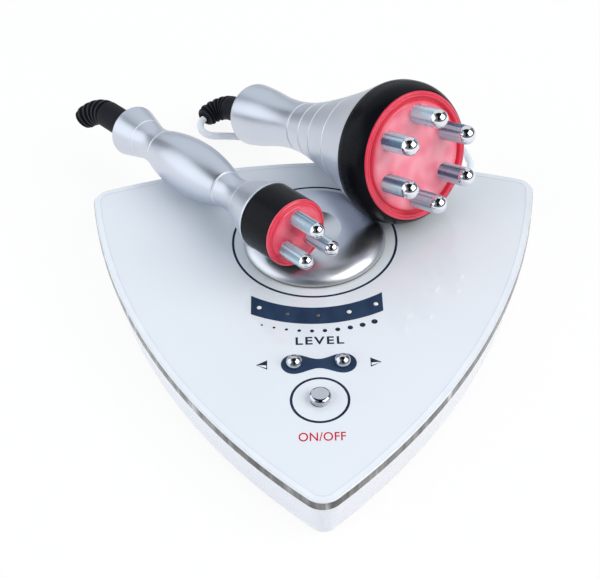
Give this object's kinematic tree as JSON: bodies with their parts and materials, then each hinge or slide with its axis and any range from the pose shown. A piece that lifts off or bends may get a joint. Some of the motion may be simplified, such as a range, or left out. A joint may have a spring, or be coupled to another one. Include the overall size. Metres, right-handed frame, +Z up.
{
  "type": "rf facial device",
  "caption": "Table-top radio-frequency facial device: a shield-shaped glass-topped base with push buttons and a holder disc, and a large and a small corded handpiece with red lenses.",
  "frame": {"origin": "on the holder disc's axis, on the plane of the bottom cover's underside", "axes": "+Z up through the holder disc, -Y towards the pointed front of the base, +X to the right of someone facing the controls"},
  "size_m": [0.206, 0.2579, 0.0837],
  "materials": {
    "white_plastic": "satin moulded",
    "pale_glass": "polished, back printed",
    "panel_film": "printed film",
    "dark_window": "smoked",
    "brushed_aluminium": "fine turned",
    "dark_gasket": "matt",
    "circuit_board": "solder mask",
    "switch_plastic": "moulded",
    "led_epoxy": "clear",
    "red_led": "tinted",
    "standoff_brass": "turned",
    "ferrite": "matt",
    "capacitor_sleeve": "sleeved",
    "sink_aluminium": "extruded",
    "screw_steel": "plated",
    "foot_rubber": "matt",
    "socket_plastic": "moulded",
    "chrome_button": "polished",
    "black_plastic": "gloss moulded",
    "red_lens": "translucent",
    "electrode_steel": "polished",
    "gland_plastic": "moulded",
    "relief_rubber": "matt moulded",
    "cord_vinyl": "white vinyl",
    "tie_nylon": "moulded"
  },
  "bodies": {
    "base": {"base_housing": "white_plastic", "bottom_cover": "white_plastic", "glass_top": "pale_glass", "backing_panel": "panel_film", "indicator_window": "dark_window", "holder_disc": "brushed_aluminium", "disc_gasket": "dark_gasket", "control_board": "circuit_board", "rf_board": "circuit_board", "tact_switches": "switch_plastic", "buzzer": "switch_plastic", "indicator_leds": "led_epoxy", "board_standoffs": "standoff_brass", "rf_transformer": "ferrite", "capacitors": "capacitor_sleeve", "heat_sink": "sink_aluminium", "cover_screws": "screw_steel", "foot_1": "foot_rubber", "foot_2": "foot_rubber", "foot_3": "foot_rubber", "foot_4": "foot_rubber", "dc_inlet": "socket_plastic", "large_socket": "socket_plastic", "small_socket": "socket_plastic", "cord_plug": "cord_vinyl", "cord_lead": "cord_vinyl", "cord_coil": "cord_vinyl", "cord_run": "cord_vinyl", "cord_tie": "tie_nylon"},
    "power_button": {"power_button": "chrome_button"},
    "minus_button": {"minus_button": "chrome_button"},
    "plus_button": {"plus_button": "chrome_button"},
    "large_handpiece": {"large_handle": "brushed_aluminium", "large_led_board": "circuit_board", "large_leds": "red_led", "large_head_rim": "black_plastic", "large_lens": "red_lens", "large_electrode_1": "electrode_steel", "large_electrode_2": "electrode_steel", "large_electrode_3": "electrode_steel", "large_electrode_4": "electrode_steel", "large_electrode_5": "electrode_steel", "large_electrode_6": "electrode_steel", "large_gland": "gland_plastic", "large_strain_relief": "relief_rubber"},
    "small_handpiece": {"small_handle": "brushed_aluminium", "small_tail_cap": "brushed_aluminium", "small_led_board": "circuit_board", "small_led": "red_led", "small_collar": "black_plastic", "small_lens": "red_lens", "small_electrode_1": "electrode_steel", "small_electrode_2": "electrode_steel", "small_electrode_3": "electrode_steel", "small_strain_relief": "relief_rubber"}
  },
  "joints": [
    {"name": "power_button_press", "type": "slide", "parent": "base", "child": "power_button", "axis": [0, 0, 1], "range_m": [-0.0008, 0], "stiffness_N_per_m": 500, "springref_m": 0.0008},
    {"name": "minus_button_press", "type": "slide", "parent": "base", "child": "minus_button", "axis": [0, 0, 1], "range_m": [-0.0008, 0], "stiffness_N_per_m": 500, "springref_m": 0.0008},
    {"name": "plus_button_press", "type": "slide", "parent": "base", "child": "plus_button", "axis": [0, 0, 1], "range_m": [-0.0008, 0], "stiffness_N_per_m": 500, "springref_m": 0.0008},
    {"name": "large_handpiece_lift", "type": "slide", "parent": "base", "child": "large_handpiece", "axis": [0, 0, 1], "range_m": [0, 0.08]},
    {"name": "small_handpiece_lift", "type": "slide", "parent": "base", "child": "small_handpiece", "axis": [0, 0, 1], "range_m": [0, 0.08]}
  ]
}
